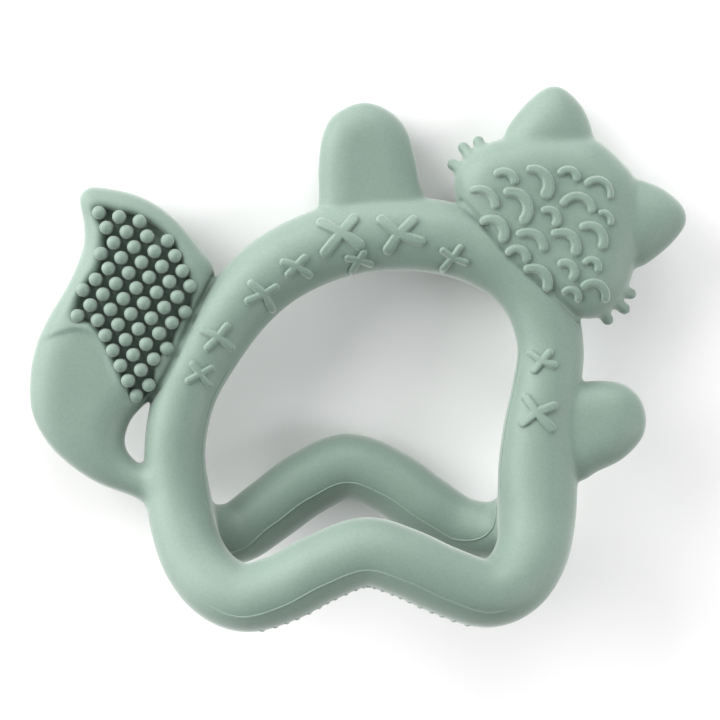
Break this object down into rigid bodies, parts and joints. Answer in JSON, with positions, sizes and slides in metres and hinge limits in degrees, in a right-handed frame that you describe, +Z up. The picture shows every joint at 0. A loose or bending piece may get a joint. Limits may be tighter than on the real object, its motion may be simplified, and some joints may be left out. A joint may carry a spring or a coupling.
{
  "type": "teething ring",
  "caption": "Moulded silicone teething ring shaped as a fox: an arch over a hand opening, two wavy grip bars, a head, paws and a pegged tail.",
  "frame": {"origin": "on the surface it rests on, under the middle of the outline, lying on its back", "axes": "+X to the fox's head side, +Y from the grip bars to the paw on top, +Z up out of the front face"},
  "size_m": [0.1093, 0.0865, 0.0341],
  "materials": {
    "silicone": "satin, slightly powdery moulded silicone"
  },
  "bodies": {
    "root": {"ring_arch": "silicone", "front_bar": "silicone", "rear_bar": "silicone", "front_bar_ribs": "silicone", "fox_head": "silicone", "upper_ear": "silicone", "side_ear": "silicone", "upper_cheek_tuft": "silicone", "lower_cheek_tuft": "silicone", "fur_arcs": "silicone", "face_relief": "silicone", "top_paw": "silicone", "side_paw": "silicone", "tail_base": "silicone", "tail_brush": "silicone", "front_pegs": "silicone", "back_pegs": "silicone", "front_stitches": "silicone", "back_stitches": "silicone"}
  },
  "joints": []
}
